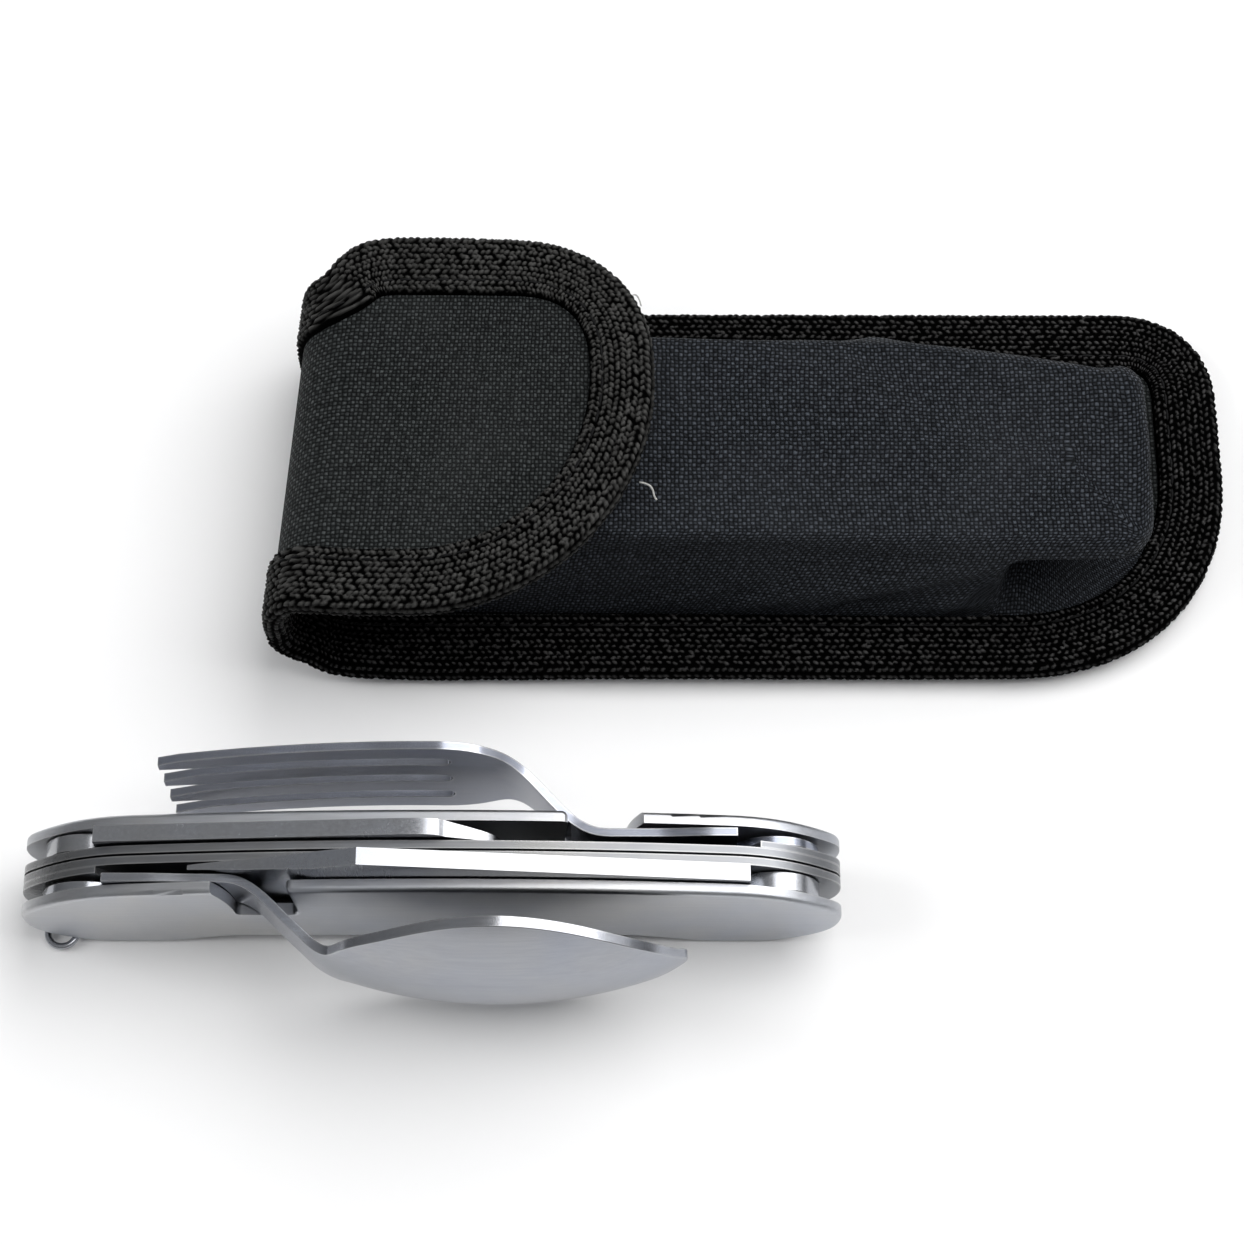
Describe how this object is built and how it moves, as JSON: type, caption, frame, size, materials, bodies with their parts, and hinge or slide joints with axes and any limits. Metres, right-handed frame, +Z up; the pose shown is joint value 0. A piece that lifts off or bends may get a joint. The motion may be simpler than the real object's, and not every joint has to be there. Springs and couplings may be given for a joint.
{
  "type": "folding picnic cutlery",
  "caption": "Folding steel camping cutlery with spoon, fork, knife and opener in a handle that splits into two halves, with a black nylon belt pouch.",
  "frame": {"origin": "centre of the pouch's back face, on the table plane", "axes": "+X along the pouch and the folded handle, +Y from the tool to the pouch, +Z up, out of the pouch's front"},
  "size_m": [0.1607, 0.1047, 0.0295],
  "materials": {
    "satin_steel": "satin, polished edges",
    "liner_steel": "ground",
    "spring_steel": "ground",
    "rivet_steel": "ground flush",
    "blade_steel": "polished",
    "polished_steel": "polished",
    "wire_steel": "bright wire",
    "nylon_cloth": "woven nylon",
    "edge_tape": "herringbone tape",
    "hook_tape": "hook tape",
    "loop_tape": "loop tape",
    "webbing": "webbing"
  },
  "bodies": {
    "pouch": {"back_panel": "nylon_cloth", "back_panel_tape": "edge_tape", "pocket": "nylon_cloth", "pocket_hem": "edge_tape", "loop_patch": "loop_tape", "belt_loop": "webbing"},
    "fold": {"flap_fold": "nylon_cloth", "flap_fold_tape": "edge_tape"},
    "flap": {"flap_panel": "nylon_cloth", "flap_tape": "edge_tape", "hook_patch": "hook_tape"},
    "near_half": {"near_scale": "satin_steel", "near_liner": "liner_steel", "near_spacer": "liner_steel", "near_spring": "spring_steel", "near_spring_rivets": "rivet_steel", "spoon_rivet": "rivet_steel", "knife_rivet": "rivet_steel", "coupling_studs": "rivet_steel", "lanyard_loop": "wire_steel"},
    "far_half": {"far_scale": "satin_steel", "far_liner": "liner_steel", "far_spacer": "liner_steel", "far_spring": "spring_steel", "far_spring_rivets": "rivet_steel", "fork_rivet": "rivet_steel", "opener_rivet": "rivet_steel"},
    "spoon": {"spoon": "polished_steel"},
    "knife": {"knife": "blade_steel"},
    "fork": {"fork": "polished_steel"},
    "opener": {"opener": "blade_steel"}
  },
  "joints": [
    {"name": "tool_lift", "type": "slide", "parent": "pouch", "child": "near_half", "axis": [0, 0, 1], "range_m": [0, 0.08]},
    {"name": "halves_slide", "type": "slide", "parent": "near_half", "child": "far_half", "axis": [1, 0, 0], "range_m": [0, 0.008]},
    {"name": "spoon_pivot", "type": "hinge", "parent": "near_half", "child": "spoon", "pos_m": [-0.0856, -0.06168, 0.0105], "axis": [0, -1, 0], "range_deg": [0, 180]},
    {"name": "knife_pivot", "type": "hinge", "parent": "near_half", "child": "knife", "pos_m": [0.0024, -0.06168, 0.0105], "axis": [0, 1, 0], "range_deg": [0, 180]},
    {"name": "fork_pivot", "type": "hinge", "parent": "far_half", "child": "fork", "pos_m": [0.0024, -0.05652, 0.0105], "axis": [0, 1, 0], "range_deg": [0, 180]},
    {"name": "opener_pivot", "type": "hinge", "parent": "far_half", "child": "opener", "pos_m": [-0.0856, -0.05652, 0.0105], "axis": [0, -1, 0], "range_deg": [0, 180]},
    {"name": "flap_root", "type": "hinge", "parent": "pouch", "child": "fold", "pos_m": [-0.0646, 0, 0.0024], "axis": [0, -1, 0], "range_deg": [0, 90]},
    {"name": "flap_top", "type": "hinge", "parent": "fold", "child": "flap", "pos_m": [-0.0646, 0, 0.0237], "axis": [0, -1, 0], "range_deg": [0, 90]}
  ],
  "couplings": [
    {"joint": "flap_top", "follows": "flap_root", "ratio": 1}
  ]
}
